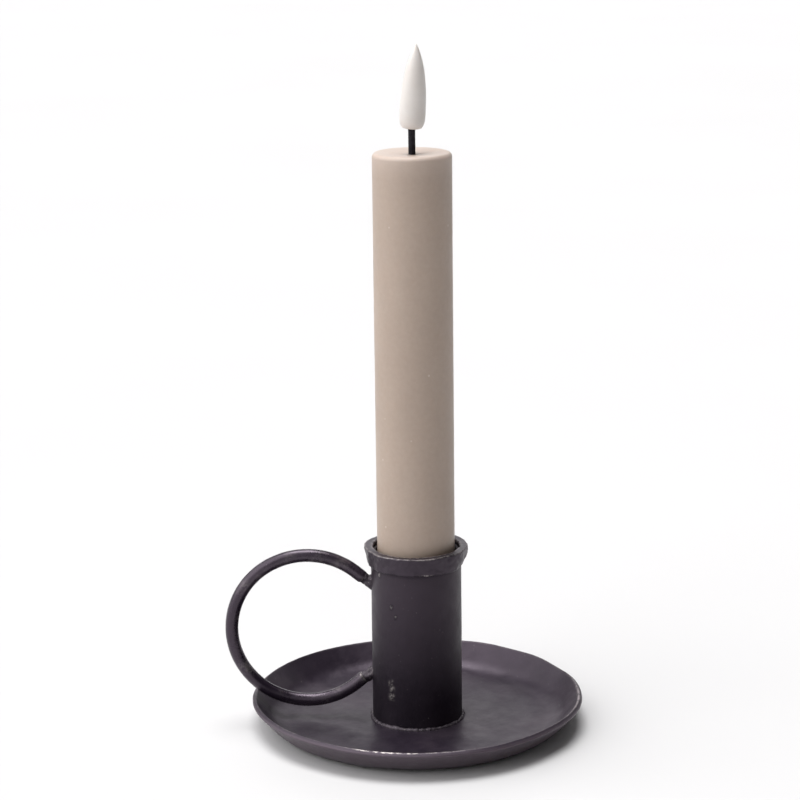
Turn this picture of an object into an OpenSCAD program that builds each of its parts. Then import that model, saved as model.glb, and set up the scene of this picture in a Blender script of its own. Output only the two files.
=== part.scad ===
// Iron chamberstick with a battery candle.
// A shallow drip dish carries a socket tube with a collar band and a welded
// ring handle. A flameless dinner candle stands loose in the socket: a wax
// sleeve over a plastic tube with two AAA cells, a driver board, a bayonet
// battery cap with a slide switch, and a flame on a black wick.
// Origin: centre of the dish's underside. +Z is up, and the ring handle
// stands on the -X side, in the XZ plane.

/* [Drip dish] */
// Radius of the dish at its lip
dish_r = 47.5; // [39:0.5:60]
// Height of the lip's top edge above the table
dish_h = 8.5; // [7:0.1:12]
// Thickness of the sheet iron
dish_t = 1.5; // [1:0.1:2]
// Slope of the wall above the horizontal, in degrees
dish_slope = 48; // [40:1:56]
// Bend radius between floor and wall, on the upper side
dish_bend = 8; // [4:0.5:9]

/* [Socket tube] */
// Length of the tube, from the dish's floor to its rim
tube_len = 49.7; // [41:0.1:70]
// Wall thickness of the tube
tube_wall = 1.4; // [1:0.1:2]
// Gap between the candle and the tube, on the radius
socket_clear = 0.5; // [0.3:0.1:2]
// Depth of the socket, from the tube's rim to the seat
socket_depth = 36.9; // [20:0.1:38]
// Thickness of the seat disc that the candle stands on
seat_t = 1.5; // [1:0.1:2.5]
// Leg of the weld around the tube's foot
foot_leg = 1.3; // [0.8:0.1:2]

/* [Collar band] */
// Height of the flat bar that is bent around the tube
collar_h = 5.3; // [3:0.1:7]
// Thickness of the flat bar
collar_t = 2.1; // [1.2:0.1:3]
// How far the band stands above the tube's rim
collar_rise = 1.6; // [0:0.1:2]
// Chamfer along the band's edges
collar_edge = 0.4; // [0.1:0.1:0.5]

/* [Ring handle] */
// Diameter of the round bar
bar_d = 3.9; // [3:0.1:5]
// Distance from the tube's surface to the ring's centre
handle_out = 18.2; // [14:0.1:23]
// Angle from the tube at which the bar leaves the ring, in degrees
handle_angle = 50; // [42:1:60]
// Height from the upper joint's centre to the collar band
neck_gap = 6.4; // [5.5:0.1:9]
// Clear height under the ring above the dish's floor
floor_gap = 3; // [2:0.1:6]
// Least gap between the ring and the dish's lip
lip_gap = 1.9; // [1:0.1:4]
// Leg of the welds at the bar's ends
weld_leg = 1.2; // [0.8:0.1:1.8]

/* [Candle] */
// Diameter of the candle
candle_d = 22; // [22:0.1:38]
// Length of the wax body, without wick and flame
candle_len = 150; // [148:1:300]
// Thickness of the wax around the battery tube
wax_wall = 2.3; // [1.5:0.1:2.8]
// Thickness of the wax above the wick plug
wax_top = 4.5; // [3:0.1:6]
// Rounding of the candle's upper edge
wax_round = 1.2; // [0.5:0.1:2]
// Depth of the hollow in the candle's top
pool_depth = 0.5; // [0.2:0.1:1]

/* [Wick and flame] */
// Diameter of the wick tube
wick_d = 2; // [2:0.1:3]
// Wall of the wick tube
wick_wall = 0.4; // [0.3:0.05:0.4]
// Length of wick that shows between wax and flame
wick_show = 6.4; // [4:0.1:10]
// Gap around the wick in the wax
wick_clear = 0.15; // [0.05:0.05:0.3]
// Greatest diameter of the flame
flame_d = 7.1; // [6:0.1:10]
// Length of the flame
flame_len = 23.1; // [18:0.1:30]
// Diameter of the flame's flat foot
flame_foot_d = 4; // [3.6:0.1:5.8]
// Height of the flame's widest place above its foot
flame_belly = 3; // [1.5:0.1:4]
// Fullness of the flame's sides, larger is blunter
flame_power = 2.6; // [1.6:0.1:3]
// Bluntness of the flame's tip, smaller is blunter
flame_tip = 0.85; // [0.6:0.05:1]
// Wall of the hollow flame
flame_wall = 0.9; // [0.6:0.1:1.2]
// Lean of the flame towards +X, in degrees
flame_lean = 3.7; // [0:0.1:8]
// Depth of the wick tube inside the flame
wick_grip = 2; // [1.5:0.1:3]
// Diameter of the lamp in the flame
led_d = 1.8; // [1.6:0.1:2]
// Length of the lamp's body below its dome
led_h = 2; // [1:0.1:3]
// Diameter of each lead in the wick tube
lead_d = 0.4; // [0.3:0.05:0.4]

/* [Battery tube] */
// Wall of the battery tube
core_wall = 1.6; // [1.4:0.1:1.9]
// Number of ribs that guide the cells
rib_count = 4; // [4:4:8]
// Width of each rib
rib_w = 1.2; // [0.8:0.1:2]
// Gap between the cells and the ribs, on the radius
cell_clear = 0.15; // [0.1:0.05:0.3]
// Thickness of the bulkhead above the cells
bulkhead_t = 1.5; // [1:0.1:2.5]
// Thickness of the plug's flange on the tube's top
plug_flange = 1.5; // [1:0.1:2.5]
// Depth of the plug in the tube
plug_depth = 4.5; // [3:0.1:6]

/* [Cells] */
// Diameter of an AAA cell
cell_d = 10.5; // [10:0.1:11]
// Length of an AAA cell, with its nub
cell_len = 44.5; // [43.5:0.1:44.5]
// Diameter of the nub
nub_d = 3.8; // [3.5:0.1:4.2]
// Height of the nub
nub_h = 0.8; // [0.8:0.1:1.2]

/* [Contacts] */
// Thickness of the contact sheet
sheet_t = 0.4; // [0.3:0.1:0.5]
// Diameter of the positive contact
plus_d = 9; // [7:0.1:10]
// Width of the positive contact's tab
plus_tab = 2; // [1:0.1:3]
// Width of the negative strip
strip_w = 2.4; // [1.5:0.1:3]
// Height of the strip's upper tab above the bulkhead
strip_up = 3; // [2:0.1:4]
// Diameter of the spring's wire
spring_wire = 0.5; // [0.4:0.05:0.5]
// Mean diameter of the spring
spring_d = 5.2; // [4:0.1:5.2]
// Height of the spring under the cells
spring_h = 5.9; // [4.5:0.1:9]
// Number of turns in the spring
spring_turns = 5; // [4:1:6]

/* [Battery cap] */
// Recess of the cap above the candle's foot
cap_recess = 1; // [0.8:0.1:2]
// Thickness of the cap's outer plate
cap_plate = 2; // [1.6:0.1:3]
// Wall of the cap's cup
cap_wall = 1.2; // [0.9:0.1:1.4]
// Running gap around the cap, on the radius
cap_clear = 0.1; // [0.05:0.05:0.1]
// Turn of the cap from locked to open, in degrees
cap_turn = 35; // [20:1:60]
// Width of a bayonet lug
lug_w = 3; // [2:0.1:4]
// Height of a bayonet lug
lug_h = 1.8; // [1:0.1:2.5]
// How far a lug stands out of the cap
lug_out = 0.8; // [0.5:0.1:0.9]
// Gap around a lug in its slot
lug_clear = 0.15; // [0.1:0.05:0.25]
// Height of the lugs above the cap's outer face
lug_up = 2; // [1:0.1:3]
// Width of the coin grooves
coin_w = 1.6; // [1.2:0.1:2]
// Depth of the coin grooves
coin_deep = 1; // [0.6:0.1:1.2]

/* [Slide switch] */
// Length of the switch's case
case_l = 8.6; // [8.2:0.1:9]
// Width of the switch's case
case_w = 3.8; // [3.4:0.1:4.2]
// Height of the switch's case and base together
case_h = 3.8; // [3.4:0.1:4.5]
// Sheet thickness of the switch's case
case_wall = 0.5; // [0.3:0.1:0.6]
// Thickness of the switch's base
base_t = 1; // [0.6:0.1:1.2]
// Travel of the slider
switch_travel = 2.4; // [2:0.1:2.6]
// Length of the slider's block in the case
slider_l = 4; // [3.6:0.1:4.6]
// Length of the slider's knob
knob_l = 2.2; // [1.6:0.1:2.4]
// Width of the slider's knob
knob_w = 1.5; // [1:0.1:1.8]
// Gap around the sliding parts
slide_clear = 0.1; // [0.05:0.05:0.15]
// Gap between the knob's tip and the candle's foot
knob_up = 0.5; // [0.3:0.1:0.8]
// Thickness of the switch board
cap_board_t = 0.8; // [0.6:0.1:1.2]
// Diameter of a screw's thread
screw_d = 1.2; // [1:0.1:1.4]
// Diameter of a screw's head
head_d = 2; // [1.6:0.1:2.2]
// Height of a screw's head
head_h = 0.7; // [0.5:0.1:1]
// Depth of a screw in its post
screw_deep = 3; // [2:0.1:3.4]
// Wall of a screw post
post_wall = 0.6; // [0.4:0.1:0.8]

/* [Driver board] */
// Length of the driver board
board_len = 22; // [16:0.5:24]
// Thickness of the driver board
board_t = 1; // [0.8:0.1:1.6]
// Depth of the board's edges in their rails
rail_grip = 0.6; // [0.4:0.1:1]
// Length of the driver chip
chip_l = 5; // [3:0.1:6]
// Width of the driver chip's body
chip_w = 4; // [3:0.1:4.5]
// Height of the driver chip's body
chip_h = 1.5; // [1:0.1:2]
// Pitch of the chip's legs
leg_pitch = 1.27; // [0.65:0.01:1.27]

/* [Hidden] */
$fn = 96;
over = 1;           // overshoot of a cut past the face that it opens
bite = 0.4;         // depth to which joined shapes run into each other
hair = 0.02;        // step that keeps two nearly equal round surfaces apart
iron = [0.11, 0.1, 0.12];
wax = [0.78, 0.72, 0.65];
plating = [0.75, 0.75, 0.72];
copper_alloy = [0.8, 0.65, 0.35];

// Dish: the bend's lower radius, the wall's straight run and the flat floor
bend_low = dish_bend + dish_t;
lip_low_z = dish_h - dish_t * cos(dish_slope);
wall_run = (lip_low_z - bend_low * (1 - cos(dish_slope))) / sin(dish_slope);
floor_r = dish_r - bend_low * sin(dish_slope) - wall_run * cos(dish_slope);

// Socket: the bore follows the candle, and the seat hangs from the rim
tube_ir = candle_d / 2 + socket_clear;
tube_or = tube_ir + tube_wall;
tube_top = dish_t + tube_len;
candle_z = tube_top - socket_depth;
collar_z = tube_top + collar_rise - collar_h;

// Ring handle: its radius is the largest that leaves both floor_gap and lip_gap
bar_r = bar_d / 2;
handle_x = -(tube_or + handle_out);
joint_z = collar_z - neck_gap;
lean_out = 1 / sin(handle_angle);
reach_top = joint_z + handle_out / tan(handle_angle);
floor_fit_r = (reach_top - dish_t - floor_gap - bar_r) / (lean_out + 1);
lip_fit_r = ring_past_lip(reach_top - dish_h, dish_r + handle_x, bar_r + lip_gap);
handle_r = min(floor_fit_r, lip_fit_r);
handle_z = reach_top - handle_r * lean_out;
bar_run = (handle_out - handle_r * cos(handle_angle)) / sin(handle_angle);

// Candle: heights are measured from the candle's foot
core_or = candle_d / 2 - wax_wall;
core_ir = core_or - core_wall;
core_len = candle_len - wax_top - plug_flange;
wick_r = wick_d / 2;
flame_z = candle_len + wick_show;
wick_top_z = flame_z + wick_grip;

// Battery cap, from its outer face up to the spring
cap_r = core_ir - cap_clear;
cap_ir = cap_r - cap_wall;
cap_floor_z = cap_recess + cap_plate;
cap_board_z = cap_floor_z + case_h;
spring_z = cap_board_z + cap_board_t;
cap_top_z = spring_z + head_h + slide_clear;
ring_top_z = cap_top_z + sheet_t;
strip_z = ring_top_z + cap_clear;
lug_z = cap_recess + lug_up;
post_r = screw_d / 2 + post_wall;
post_y = cap_ir - post_r + cap_clear;

// Cells and the head space above them
cell_z = spring_z + spring_h;
plus_z = cell_z + 2 * cell_len;
bulkhead_z = plus_z + sheet_t;
head_z = bulkhead_z + bulkhead_t;
board_w = 2 * (core_ir - rail_grip - 1);
strip_x = sqrt(pow(core_ir, 2) - pow(strip_w / 2, 2)) - sheet_t;
strip_tab_z = head_z + strip_up;
rail_z = strip_tab_z + sheet_t + over;
rail_top_z = head_z + board_len - over;
chip_z = (rail_z + rail_top_z) / 2;

// Radius of a ring whose bar clears a lip: rise and out are measured from the
// lip to the bar's crossing point and to the ring's centre
function ring_past_lip(rise, out, gap) =
    let (
        a = pow(lean_out, 2) - 1,
        b = lean_out * rise + gap,
        c = pow(rise, 2) + pow(out, 2) - pow(gap, 2)
    )
    (b - sqrt(b * b - a * c)) / a;

// Points along an arc, from angle a0 to a1
function arc(centre, r, a0, a1, steps = 12) =
    [for (i = [0 : steps]) let (a = a0 + (a1 - a0) * i / steps)
        centre + r * [cos(a), sin(a)]];

// Radius of the flame's outside at a height above its foot
function flame_r(h) =
    h < flame_belly
        ? (flame_foot_d + (flame_d - flame_foot_d) * sqrt(1 - pow(1 - h / flame_belly, 2))) / 2
        : flame_d / 2 * pow(1 - pow((h - flame_belly) / (flame_len - flame_belly), flame_power), flame_tip);

// Half of the angle that a lug or a slot of this width takes up
function half_angle(width) = asin(width / 2 / core_ir);

// Height of the spring's wire after t turns; the end turns lie nearly closed
function spring_rise(t) =
    let (
        tight = spring_wire * 1.1,
        free = (spring_h - spring_wire - 2 * tight) / (spring_turns - 2)
    )
    t < 1 ? tight * t
        : t < spring_turns - 1 ? tight + free * (t - 1)
        : tight * (t + 2 - spring_turns) + free * (spring_turns - 2);

module ring(r_out, r_in, h) {
    difference() {
        cylinder(r = r_out, h = h);
        translate([0, 0, -over]) cylinder(r = r_in, h = h + 2 * over);
    }
}

// A ring section between two angles, two radii and two heights
module sector(r_in, r_out, z0, z1, a_mid, a_half) {
    rotate(a_mid - a_half)
        rotate_extrude(angle = 2 * a_half)
            translate([r_in, z0]) square([r_out - r_in, z1 - z0]);
}

module on_seat() {
    translate([0, 0, candle_z]) children();
}

// ---- Holder ----

module drip_dish() {
    centre = [floor_r, bend_low];
    wall = [cos(dish_slope), sin(dish_slope)];
    side = [-sin(dish_slope), cos(dish_slope)];
    lip_low = [dish_r, lip_low_z];
    color(iron) rotate_extrude() polygon(concat(
        [[0, 0]],
        arc(centre, bend_low, -90, dish_slope - 90),
        [lip_low, lip_low + dish_t * side],
        arc(centre, dish_bend, dish_slope - 90, -90),
        [[0, dish_t]]
    ));
}

module socket_tube() {
    color(iron) translate([0, 0, dish_t]) ring(tube_or, tube_ir, tube_len);
}

module candle_seat() {
    color(iron) translate([0, 0, candle_z - seat_t]) cylinder(r = tube_ir, h = seat_t);
}

module collar_band() {
    e = collar_edge;
    color(iron) translate([0, 0, collar_z]) rotate_extrude() polygon([
        [tube_or, 0], [tube_or + collar_t - e, 0], [tube_or + collar_t, e],
        [tube_or + collar_t, collar_h - e], [tube_or + collar_t - e, collar_h],
        [tube_or + e, collar_h], [tube_or, collar_h - e]
    ]);
}

// The ring's own plane: X along the reach, Y upwards, origin at its centre
module in_ring_plane() {
    translate([handle_x, 0, handle_z]) rotate([90, 0, 0]) children();
}

// Both straight ends of the bar, from where they leave the ring
module at_bar_ends() {
    for (side = [0, 1]) mirror([0, side, 0])
        rotate(handle_angle) translate([handle_r, 0, 0]) rotate([90, 0, 0]) children();
}

module tube_room() {
    cylinder(r = tube_or, h = tube_top + over);
}

// The side of the ring that faces the tube, from where each end leaves it
module ring_gap() {
    inward = handle_r * (1 - cos(handle_angle)) + bar_d;
    at_bar_ends() translate([-inward, -bar_d, 0]) cube([inward + bar_d, 2 * bar_d, handle_r]);
}

module handle_bar() {
    in_ring_plane() {
        difference() {
            rotate_extrude() translate([handle_r, 0]) circle(r = bar_r);
            ring_gap();
        }
        at_bar_ends() translate([0, 0, -bite]) cylinder(r = bar_r - hair, h = bar_run + bar_d);
    }
}

module ring_handle() {
    color(iron) difference() {
        handle_bar();
        tube_room();
    }
}

module handle_welds() {
    neck_r = bar_r + weld_leg / 6;
    spread_r = bar_r / sin(handle_angle) + weld_leg;
    color(iron) difference() {
        in_ring_plane() for (side = [0, 1]) mirror([0, side, 0]) hull() {
            translate([handle_out, joint_z - handle_z, 0])
                rotate([0, 90, 0]) cylinder(r = spread_r, h = weld_leg, $fn = 32);
            rotate(handle_angle) translate([handle_r, 0, 0]) rotate([90, 0, 0])
                translate([0, 0, bar_run - 2 * weld_leg]) cylinder(r = neck_r, h = bite, $fn = 32);
        }
        in_ring_plane() at_bar_ends() cylinder(r = bar_r - hair, h = bar_run + 2 * bar_d);
        tube_room();
    }
}

module foot_weld() {
    color(iron) translate([0, 0, dish_t]) rotate_extrude()
        polygon(concat([[tube_or, 0]], arc([tube_or, 0], foot_leg, 0, 90, 6)));
}

// ---- Candle ----

module wax_sleeve() {
    r = candle_d / 2;
    hole_r = wick_r + wick_clear;
    rim_r = r - wax_round;
    foot = wax_round / 2;
    color(wax) on_seat() rotate_extrude() polygon(concat(
        [[core_or, 0], [r - foot, 0], [r, foot]],
        arc([rim_r, candle_len - wax_round], wax_round, 0, 90, 6),
        [for (i = [1 : 6])
            [rim_r + (hole_r - rim_r) * i / 6,
             candle_len - pool_depth * (1 - cos(30 * i)) / 2]],
        [[hole_r, candle_len - wax_top], [core_or, candle_len - wax_top]]
    ));
}

module bayonet_slots() {
    half = half_angle(lug_w + 2 * lug_clear);
    r_in = core_ir - bite;
    r_out = cap_r + lug_out + lug_clear;
    top = lug_z + lug_h + lug_clear;
    for (a = [90, 270]) {
        sector(r_in, r_out, lug_z - lug_clear, top, a - cap_turn / 2, cap_turn / 2 + half);
        sector(r_in, r_out, -over, top, a - cap_turn, half);
    }
}

module board_rails() {
    reach = board_w / 2 - rail_grip;
    for (side = [0, 180]) rotate(side) difference() {
        translate([reach, -board_t * 1.5, rail_z])
            cube([core_ir - reach + bite, board_t * 3, rail_top_z - rail_z]);
        translate([reach - over, -board_t / 2, rail_z - over])
            cube([rail_grip + over, board_t, rail_top_z - rail_z + 2 * over]);
    }
}

module battery_tube() {
    rib_in = cell_d / 2 + cell_clear;
    tab_gap = sheet_t / 2;
    color("white") on_seat() difference() {
        union() {
            difference() {
                cylinder(r = core_or, h = core_len);
                translate([0, 0, -over]) cylinder(r = core_ir, h = bulkhead_z + over);
                translate([0, 0, head_z]) cylinder(r = core_ir, h = core_len - head_z + over);
            }
            for (i = [0 : rib_count - 1]) rotate((i + 0.5) * 360 / rib_count)
                translate([rib_in, -rib_w / 2, cell_z])
                    cube([core_ir - rib_in + bite, rib_w, bulkhead_z - cell_z + bite]);
            intersection() {
                board_rails();
                cylinder(r = core_ir + bite, h = core_len);
            }
        }
        bayonet_slots();
        translate([-plus_tab - tab_gap, board_t / 2 - tab_gap, bulkhead_z - over])
            cube([plus_tab + 2 * tab_gap, sheet_t + 2 * tab_gap, bulkhead_t + 2 * over]);
        translate([strip_x - tab_gap, -strip_w / 2 - tab_gap, bulkhead_z - over])
            cube([sheet_t + tab_gap, strip_w + 2 * tab_gap, bulkhead_t + 2 * over]);
    }
}

module wick_plug() {
    color("dimgray") on_seat() difference() {
        union() {
            translate([0, 0, core_len]) cylinder(r = core_or, h = plug_flange);
            translate([0, 0, core_len - plug_depth]) cylinder(r = core_ir, h = plug_depth + bite);
        }
        translate([0, 0, core_len - plug_depth - over])
            cylinder(r = wick_r, h = plug_depth + plug_flange + 2 * over);
    }
}

module wick_tube() {
    foot_z = core_len - plug_depth - over;
    color([0.06, 0.05, 0.07]) on_seat() translate([0, 0, foot_z])
        ring(wick_r, wick_r - wick_wall, wick_top_z - foot_z);
}

module flame_shell() {
    steps = 28;
    tip_wall = 3 * flame_wall;
    hollow = flame_len - flame_wall - tip_wall;
    outside = [for (i = [0 : steps]) let (h = flame_len * i / steps) [flame_r(h), h]];
    inside = [for (i = [0 : steps]) let (h = flame_wall + hollow * i / steps)
        [max(flame_r(h) - flame_wall, 0), h]];
    color([0.97, 0.96, 0.93]) on_seat() difference() {
        translate([0, 0, flame_z]) rotate([0, flame_lean, 0]) difference() {
            rotate_extrude() polygon(concat([[0, 0]], outside));
            rotate_extrude() polygon(concat([[0, flame_wall]], inside, [[0, flame_wall + hollow]]));
        }
        translate([0, 0, flame_z - over]) cylinder(r = wick_r, h = wick_grip + over);
    }
}

module flame_led() {
    color([1, 0.9, 0.6]) on_seat() translate([0, 0, wick_top_z]) {
        cylinder(d = led_d, h = led_h);
        translate([0, 0, led_h]) intersection() {
            sphere(d = led_d);
            cylinder(d = led_d, h = led_d);
        }
    }
}

module led_leads() {
    foot_z = head_z + board_len;
    offset_x = wick_r - wick_wall - lead_d / 2 - wick_wall / 4;
    color(plating) on_seat() for (side = [-1, 1])
        translate([side * offset_x, 0, foot_z]) cylinder(d = lead_d, h = wick_top_z - foot_z, $fn = 24);
}

module circuit_board() {
    color("darkgreen") on_seat() translate([-board_w / 2, -board_t / 2, head_z])
        cube([board_w, board_t, board_len]);
}

module driver_chip() {
    leg_l = 0.9;
    leg_w = leg_pitch / 3;
    leg_h = chip_h / 3;
    color([0.08, 0.08, 0.09]) on_seat() translate([0, board_t / 2, chip_z]) {
        translate([-chip_w / 2, 0, -chip_l / 2]) cube([chip_w, chip_h, chip_l]);
        for (side = [-1, 1], i = [-1.5 : 1 : 1.5])
            translate([side * (chip_w + leg_l - bite) / 2, leg_h / 2, i * leg_pitch])
                cube([leg_l + bite, leg_h, leg_w], center = true);
    }
}

module positive_contact() {
    color(copper_alloy) on_seat() translate([0, 0, plus_z]) {
        cylinder(d = plus_d, h = sheet_t);
        translate([-plus_tab, board_t / 2, 0])
            cube([plus_tab, sheet_t, sheet_t + bulkhead_t + strip_up]);
    }
}

module cell() {
    cylinder(d = cell_d, h = cell_len - nub_h);
    translate([0, 0, cell_len - nub_h - bite]) cylinder(d = nub_d, h = nub_h + bite);
}

module battery_1() {
    color([0.2, 0.24, 0.28]) on_seat() translate([0, 0, cell_z]) cell();
}

module battery_2() {
    color([0.2, 0.24, 0.28]) on_seat() translate([0, 0, cell_z + cell_len]) cell();
}

module negative_strip() {
    foot_in = cap_r - cap_wall / 2;
    x_out = strip_x + sheet_t;
    rise = strip_tab_z - strip_z;
    color(plating) on_seat() translate([0, strip_w / 2, strip_z]) rotate([90, 0, 0])
        linear_extrude(strip_w) polygon([
            [foot_in, 0], [x_out, 0], [x_out, rise + sheet_t],
            [board_w / 2, rise + sheet_t], [board_w / 2, rise],
            [strip_x, rise], [strip_x, sheet_t], [foot_in, sheet_t]
        ]);
}

// ---- Battery cap and switch ----

module at_posts() {
    for (side = [-1, 1]) translate([0, side * post_y, 0]) children();
}

module battery_cap() {
    window_l = knob_l + switch_travel + 4 * slide_clear;
    window_w = knob_w + 4 * slide_clear;
    color([0.85, 0.85, 0.83]) on_seat() difference() {
        union() {
            difference() {
                union() {
                    translate([0, 0, cap_recess]) cylinder(r = cap_r, h = cap_top_z - cap_recess);
                    for (a = [90, 270])
                        sector(cap_r - bite, cap_r + lug_out, lug_z, lug_z + lug_h, a, half_angle(lug_w));
                }
                translate([0, 0, cap_floor_z]) cylinder(r = cap_ir, h = cap_top_z);
            }
            intersection() {
                at_posts() translate([0, 0, cap_floor_z - bite]) cylinder(r = post_r, h = case_h + bite);
                cylinder(r = cap_r - bite, h = cap_top_z);
            }
        }
        at_posts() translate([0, 0, cap_board_z - screw_deep]) cylinder(d = screw_d, h = cap_top_z);
        translate([-window_l / 2, -window_w / 2, 0]) cube([window_l, window_w, cap_floor_z + over]);
        for (side = [0, 180]) rotate(side)
            translate([-coin_w / 2, window_w, cap_recess - over]) cube([coin_w, cap_r, coin_deep + over]);
    }
}

module contact_ring() {
    color(copper_alloy) on_seat() translate([0, 0, cap_top_z]) ring(cap_r, cap_ir, sheet_t);
}

module negative_spring() {
    sides = 8;
    per_turn = 24;
    rings = spring_turns * per_turn;
    r = spring_wire / 2;
    points = [for (i = [0 : rings], k = [0 : sides - 1])
        let (
            turn = 360 * i / per_turn,
            around = 360 * (k + 0.5) / sides,
            reach = spring_d / 2 + r * cos(around)
        )
        [reach * cos(turn), reach * sin(turn), r + spring_rise(i / per_turn) + r * sin(around)]];
    sleeve = [for (i = [0 : rings - 1], k = [0 : sides - 1])
        let (next = (k + 1) % sides)
        [i * sides + k, i * sides + next, (i + 1) * sides + next, (i + 1) * sides + k]];
    foot = [[for (k = [sides - 1 : -1 : 0]) k]];
    head = [[for (k = [0 : sides - 1]) rings * sides + k]];
    color(plating) on_seat() translate([0, 0, spring_z])
        polyhedron(points, concat(sleeve, foot, head), convexity = 6);
}

module pin_row(width, z0, z1) {
    for (i = [-1, 0, 1])
        translate([i * switch_travel - width / 2, -width / 2, z0]) cube([width, width, z1 - z0]);
}

module switch_board() {
    color("darkgreen") on_seat() difference() {
        translate([0, 0, cap_board_z]) cylinder(r = cap_ir, h = cap_board_t);
        at_posts() translate([0, 0, cap_board_z - over]) cylinder(d = screw_d, h = cap_board_t + 2 * over);
        pin_row(sheet_t, cap_board_z - over, spring_z + over);
    }
}

module switch_case() {
    inner_l = case_l - 2 * case_wall;
    inner_w = case_w - 2 * case_wall;
    window_l = knob_l + switch_travel + 2 * slide_clear;
    window_w = knob_w + 2 * slide_clear;
    color(plating) on_seat() translate([0, 0, cap_floor_z]) difference() {
        translate([-case_l / 2, -case_w / 2, 0]) cube([case_l, case_w, case_h]);
        translate([-inner_l / 2, -inner_w / 2, case_wall]) cube([inner_l, inner_w, case_h]);
        translate([-window_l / 2, -window_w / 2, -over]) cube([window_l, window_w, case_wall + 2 * over]);
    }
}

module switch_base() {
    inner_l = case_l - 2 * case_wall;
    inner_w = case_w - 2 * case_wall;
    color([0.15, 0.1, 0.07]) on_seat() {
        translate([-inner_l / 2, -inner_w / 2, cap_board_z - base_t]) cube([inner_l, inner_w, base_t]);
        pin_row(sheet_t, cap_board_z - bite, spring_z);
    }
}

module switch_screws() {
    color(plating) on_seat() at_posts() {
        translate([0, 0, cap_board_z - screw_deep]) cylinder(d = screw_d, h = screw_deep + cap_board_t);
        translate([0, 0, spring_z]) difference() {
            cylinder(d = head_d, h = head_h);
            translate([-head_d, -screw_d / 8, head_h / 2]) cube([2 * head_d, screw_d / 4, head_h]);
        }
    }
}

module switch_slider() {
    block_z = cap_floor_z + case_wall + slide_clear;
    block_h = case_h - case_wall - base_t - 2 * slide_clear;
    block_w = case_w - 2 * case_wall - 2 * slide_clear;
    color([0.1, 0.1, 0.1]) on_seat() translate([-switch_travel / 2, 0, 0]) {
        translate([-slider_l / 2, -block_w / 2, block_z]) cube([slider_l, block_w, block_h]);
        translate([-knob_l / 2, -knob_w / 2, knob_up]) cube([knob_l, knob_w, block_z - knob_up + bite]);
    }
}

drip_dish();
socket_tube();
candle_seat();
collar_band();
ring_handle();
handle_welds();
foot_weld();
wax_sleeve();
battery_tube();
wick_plug();
wick_tube();
flame_shell();
flame_led();
led_leads();
circuit_board();
driver_chip();
positive_contact();
battery_1();
battery_2();
negative_strip();
battery_cap();
contact_ring();
negative_spring();
switch_board();
switch_case();
switch_base();
switch_screws();
switch_slider();
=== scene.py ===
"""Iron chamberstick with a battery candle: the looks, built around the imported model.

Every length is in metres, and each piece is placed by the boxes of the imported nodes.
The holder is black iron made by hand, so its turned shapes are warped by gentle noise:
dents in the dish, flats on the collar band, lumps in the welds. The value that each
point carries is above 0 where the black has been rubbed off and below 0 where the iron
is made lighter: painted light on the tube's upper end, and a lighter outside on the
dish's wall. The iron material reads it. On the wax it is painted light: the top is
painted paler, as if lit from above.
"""
import math

import bmesh
import bpy
from mathutils import Matrix, Vector, noise


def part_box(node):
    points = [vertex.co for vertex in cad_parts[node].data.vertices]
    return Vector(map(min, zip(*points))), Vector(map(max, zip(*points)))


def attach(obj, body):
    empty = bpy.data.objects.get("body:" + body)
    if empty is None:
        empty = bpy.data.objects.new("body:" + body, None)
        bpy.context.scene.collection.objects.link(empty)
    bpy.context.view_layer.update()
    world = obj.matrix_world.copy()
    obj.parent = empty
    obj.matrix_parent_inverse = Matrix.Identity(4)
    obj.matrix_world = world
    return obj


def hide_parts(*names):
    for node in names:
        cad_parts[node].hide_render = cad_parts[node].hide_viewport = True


MM = 0.001
TINY = 1e-7                       # points nearer than this are one point
X_AXIS = Vector((1, 0, 0))
Y_AXIS = Vector((0, 1, 0))

# ---- Shape of the holder: the design's own values ----
DISH_SLOPE = math.radians(48)     # the wall above the horizontal
DISH_BEND = 8 * MM                # bend radius on the upper side
HANDLE_ANGLE = math.radians(50)   # where the bar leaves the ring, from the tube
WELD_LEG = 1.2 * MM               # leg of the handle's welds

# ---- Hand work on the holder ----
DISH_LIP_ROUND = 0.35 * MM        # rounding of the sheet's edges at the lip
DISH_WAVE_OUT = 0.22 * MM         # how far the lip dips inwards all round
DISH_WAVE_DOWN = 0.18 * MM        # how far the lip dips downwards
DISH_FLAT = 0.55 * MM             # how far the lip's flats on the right cut in
WALL_OUTSIDE_LIGHTER = 1.0                  # how much lighter the outside of the wall is made
# Places round the lip: angle in degrees, width in degrees, amount
DISH_FLATS = ((27, 12, 1.0), (51, 12, 0.7), (-38, 10, 0.4))
LIP_RUBS = ((-103, 16, 1.9), (-90, 24, 1.1), (-6, 30, 1.2))
LIP_RUB_ALL_ROUND = 0.25
# Waves round the lip: how many, phase, amount
LIP_WAVES = ((5, 0.4, 0.3), (9, 2.0, 0.25), (14, 0.9, 0.15))
LIP_WAVE_MEAN = 0.3
DISH_DENT = 0.2 * MM              # depth of the hammer dents
COLLAR_DENT = 0.42 * MM           # depth of the hammer marks on the band
COLLAR_FLAT = 0.4 * MM            # how far the band's flats cut into its round
COLLAR_LIP = 0.75 * MM            # how far its upper inner edge is beaten inwards
COLLAR_TAPER = 0.9 * MM           # how far its left side draws in at the bottom
COLLAR_CHAMFER = 1.7 * MM         # bevel under its right side
BAR_SHORT = 2.2 * MM              # gap that the weld fills between bar and tube
TUBE_PAINTED_LIGHT = 0.42                  # painted light: how much lighter the tube's upper end is painted, fading towards its foot
SPATTER_RISE = 0.14 * MM          # height of the weld drops on the tube
# Weld drops on the tube: angle in degrees, height above its foot, radius
SPATTER = (
    (-125, 9.4 * MM, 0.75 * MM), (-124, 11.6 * MM, 0.6 * MM), (-126, 13.4 * MM, 0.7 * MM),
    (-124, 36.0 * MM, 0.45 * MM), (-118, 33.2 * MM, 0.35 * MM), (-144, 44.5 * MM, 0.5 * MM),
)

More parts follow.
